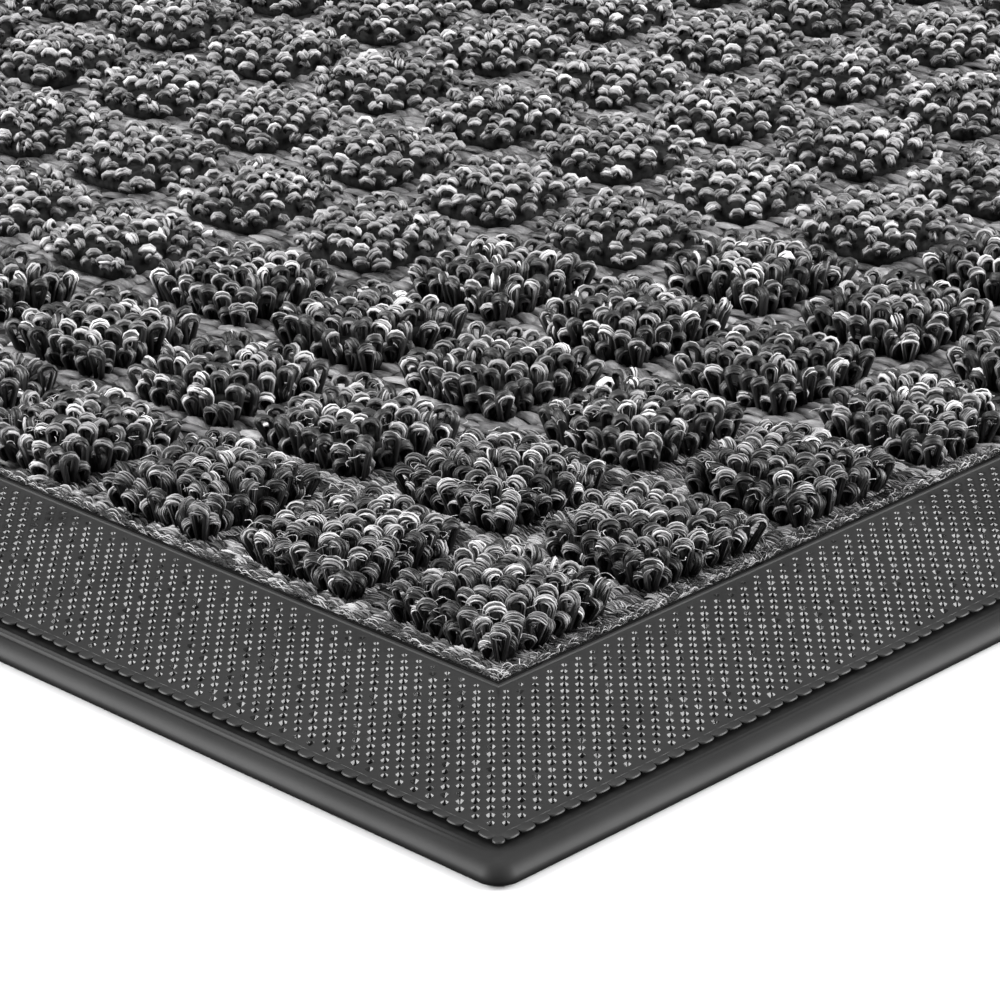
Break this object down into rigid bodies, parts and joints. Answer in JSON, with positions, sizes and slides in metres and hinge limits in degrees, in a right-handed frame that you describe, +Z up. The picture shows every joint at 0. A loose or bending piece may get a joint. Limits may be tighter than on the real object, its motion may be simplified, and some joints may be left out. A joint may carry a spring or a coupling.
{
  "type": "door mat",
  "caption": "Low vinyl-backed entrance mat: heathered loop-pile carpet with a grid of raised squares, set in a pitted, sloping border with a moulded edge.",
  "frame": {"origin": "middle of the flat underside, on the surface that the mat lies on", "axes": "+Z up through the mat's thickness, +Y along the mat's length, +X across its width"},
  "size_m": [0.592, 0.897, 0.0097],
  "materials": {
    "backing_vinyl": "matte vinyl, fine cloth-like grain underneath",
    "edging_vinyl": "smooth satin vinyl with drawn lines along its length",
    "border_vinyl": "satin vinyl pressed with a dense lattice of small pits",
    "bonding_compound": "dull cast compound",
    "woven_cloth": "plain woven flat tape",
    "low_pile_yarn": "low heathered yarn lying flat, streaked grey on charcoal",
    "raised_pile_yarn": "tight heathered yarn loops, black to light grey"
  },
  "bodies": {
    "root": {"backing_sheet": "backing_vinyl", "edging_front": "edging_vinyl", "edging_right": "edging_vinyl", "edging_back": "edging_vinyl", "edging_left": "edging_vinyl", "textured_border_front": "border_vinyl", "textured_border_right": "border_vinyl", "textured_border_back": "border_vinyl", "textured_border_left": "border_vinyl", "bonding_layer": "bonding_compound", "carpet_cloth": "woven_cloth", "low_pile": "low_pile_yarn", "pile_row_01": "raised_pile_yarn", "pile_row_02": "raised_pile_yarn", "pile_row_03": "raised_pile_yarn", "pile_row_04": "raised_pile_yarn", "pile_row_05": "raised_pile_yarn", "pile_row_06": "raised_pile_yarn", "pile_row_07": "raised_pile_yarn", "pile_row_08": "raised_pile_yarn", "pile_row_09": "raised_pile_yarn", "pile_row_10": "raised_pile_yarn", "pile_row_11": "raised_pile_yarn", "pile_row_12": "raised_pile_yarn", "pile_row_13": "raised_pile_yarn", "pile_row_14": "raised_pile_yarn", "pile_row_15": "raised_pile_yarn", "pile_row_16": "raised_pile_yarn", "pile_row_17": "raised_pile_yarn", "pile_row_18": "raised_pile_yarn", "pile_row_19": "raised_pile_yarn", "pile_row_20": "raised_pile_yarn", "pile_row_21": "raised_pile_yarn"}
  },
  "joints": []
}
